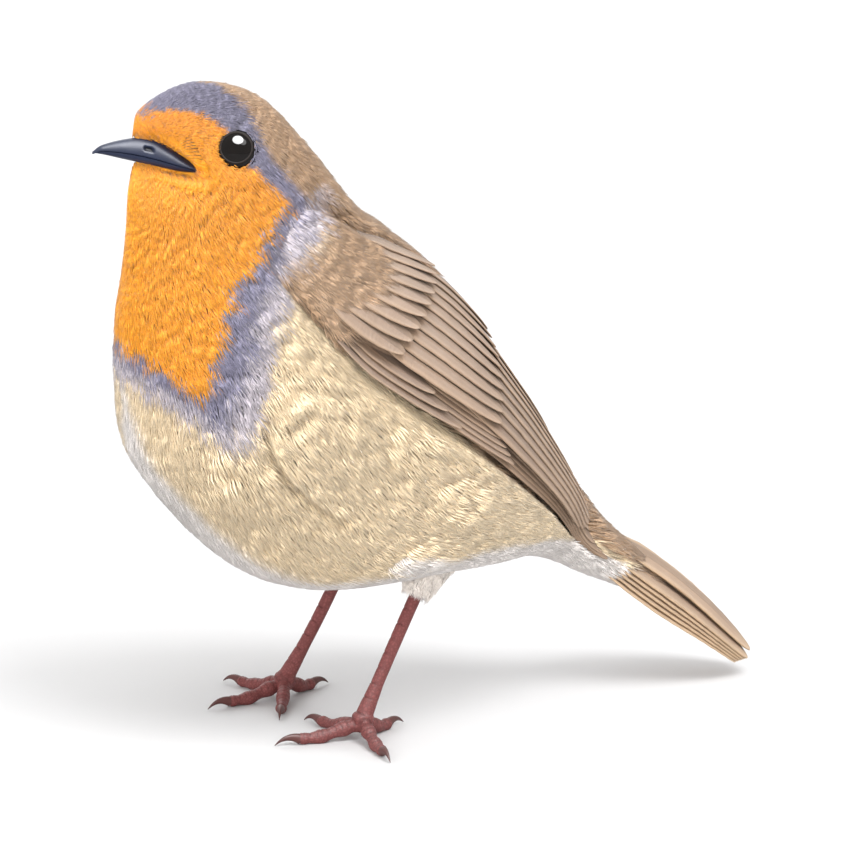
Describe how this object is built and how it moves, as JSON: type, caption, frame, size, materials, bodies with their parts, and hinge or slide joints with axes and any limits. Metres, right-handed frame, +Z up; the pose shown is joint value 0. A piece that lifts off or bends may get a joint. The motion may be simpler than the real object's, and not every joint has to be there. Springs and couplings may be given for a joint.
{
  "type": "european robin",
  "caption": "Life-size standing robin with rounded body, turned head, thin pointed bill, folded wings, lowered tail and spread toes.",
  "frame": {"origin": "centre of the footprint box at floor level, where the soles rest", "axes": "+Z up; the bird faces -X, and its left side faces -Y"},
  "size_m": [0.1014, 0.0492, 0.0932],
  "materials": {
    "head_plumage": "soft matte feather",
    "breast_plumage": "soft matte feather",
    "belly_plumage": "soft matte feather",
    "back_plumage": "soft matte feather",
    "wing_feathers": "satin vanes",
    "tail_feathers": "satin vanes",
    "thigh_plumage": "soft matte feather",
    "bill": "smooth horn",
    "eye": "wet gloss",
    "leg_skin": "scaled skin",
    "claw_horn": "smooth horn"
  },
  "bodies": {
    "root": {"head": "head_plumage", "neck": "breast_plumage", "torso": "belly_plumage", "rump": "back_plumage", "bill_upper": "bill", "bill_lower": "bill", "eye_left": "eye", "eye_right": "eye", "wing_left": "wing_feathers", "wing_right": "wing_feathers", "tail": "tail_feathers", "thigh_left": "thigh_plumage", "thigh_right": "thigh_plumage", "tarsus_left": "leg_skin", "tarsus_right": "leg_skin", "toe_left_middle": "leg_skin", "toe_left_inner": "leg_skin", "toe_left_outer": "leg_skin", "toe_left_hallux": "leg_skin", "toe_right_middle": "leg_skin", "toe_right_inner": "leg_skin", "toe_right_outer": "leg_skin", "toe_right_hallux": "leg_skin", "claw_left_middle": "claw_horn", "claw_left_inner": "claw_horn", "claw_left_outer": "claw_horn", "claw_left_hallux": "claw_horn", "claw_right_middle": "claw_horn", "claw_right_inner": "claw_horn", "claw_right_outer": "claw_horn", "claw_right_hallux": "claw_horn"}
  },
  "joints": []
}
